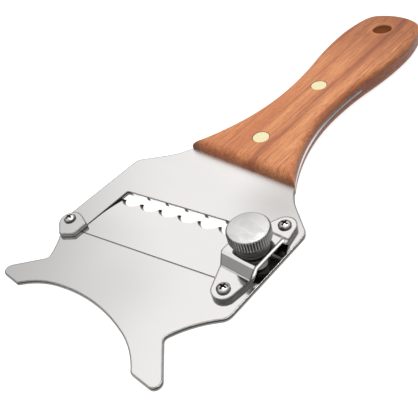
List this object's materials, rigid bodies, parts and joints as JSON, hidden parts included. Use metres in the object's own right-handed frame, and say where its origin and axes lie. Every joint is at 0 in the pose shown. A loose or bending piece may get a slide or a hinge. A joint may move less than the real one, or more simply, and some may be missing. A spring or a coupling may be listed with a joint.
{
  "type": "adjustable cheese slicer",
  "caption": "Hand slicer with a horned steel plate, a scalloped blade in a slanted window, a knurled knob that sets the slice thickness, and a riveted wooden handle.",
  "frame": {"origin": "centre of the outline in plan, at the height of the handle's underside", "axes": "+Y from the horns along the centre line to the handle's end, +Z out of the side that carries the knob, +X towards the knob"},
  "size_m": [0.0794, 0.193, 0.0181],
  "materials": {
    "polished_steel": "mirror polished stainless steel with faint wiping marks",
    "blade_steel": "polished stainless steel with ground scallops",
    "hardware_steel": "bright turned and pressed stainless steel",
    "spring_steel": "drawn spring wire",
    "brass": "polished pale brass",
    "rosewood": "satin oiled wood with lengthwise grain"
  },
  "bodies": {
    "slicer": {"body_plate": "polished_steel", "handle": "rosewood", "front_rivet_sleeve": "brass", "front_rivet_pin": "brass", "rear_rivet_sleeve": "brass", "rear_rivet_pin": "brass", "left_clamp": "polished_steel", "left_clamp_screw": "hardware_steel", "bridge": "polished_steel", "bridge_screw_front": "hardware_steel", "bridge_screw_rear": "hardware_steel", "knob_washer": "hardware_steel", "spring": "spring_steel"},
    "blade": {"blade": "blade_steel", "blade_pin_left": "hardware_steel", "blade_pin_right": "hardware_steel"},
    "knob": {"knob": "hardware_steel"},
    "stud": {"lift_stud": "hardware_steel"}
  },
  "joints": [
    {"name": "knob_turn", "type": "hinge", "parent": "slicer", "child": "knob", "pos_m": [0.0314, -0.0467, 0.01225], "axis": [0, 0, 1], "range_deg": [-360, 900]},
    {"name": "blade_tilt", "type": "hinge", "parent": "slicer", "child": "blade", "pos_m": [-0.00017, -0.06311, 0.005], "axis": [-0.9848, -0.1736, 0], "range_deg": [-2.7, 6.72]},
    {"name": "stud_lift", "type": "slide", "parent": "slicer", "child": "stud", "axis": [0, 0, -1], "range_m": [-0.00051, 0.00126], "deforming": ["spring"]}
  ],
  "couplings": [
    {"joint": "blade_tilt", "follows": "knob_turn", "ratio": 0.007449},
    {"joint": "stud_lift", "follows": "knob_turn", "m_per_rad": 0.000079577}
  ]
}
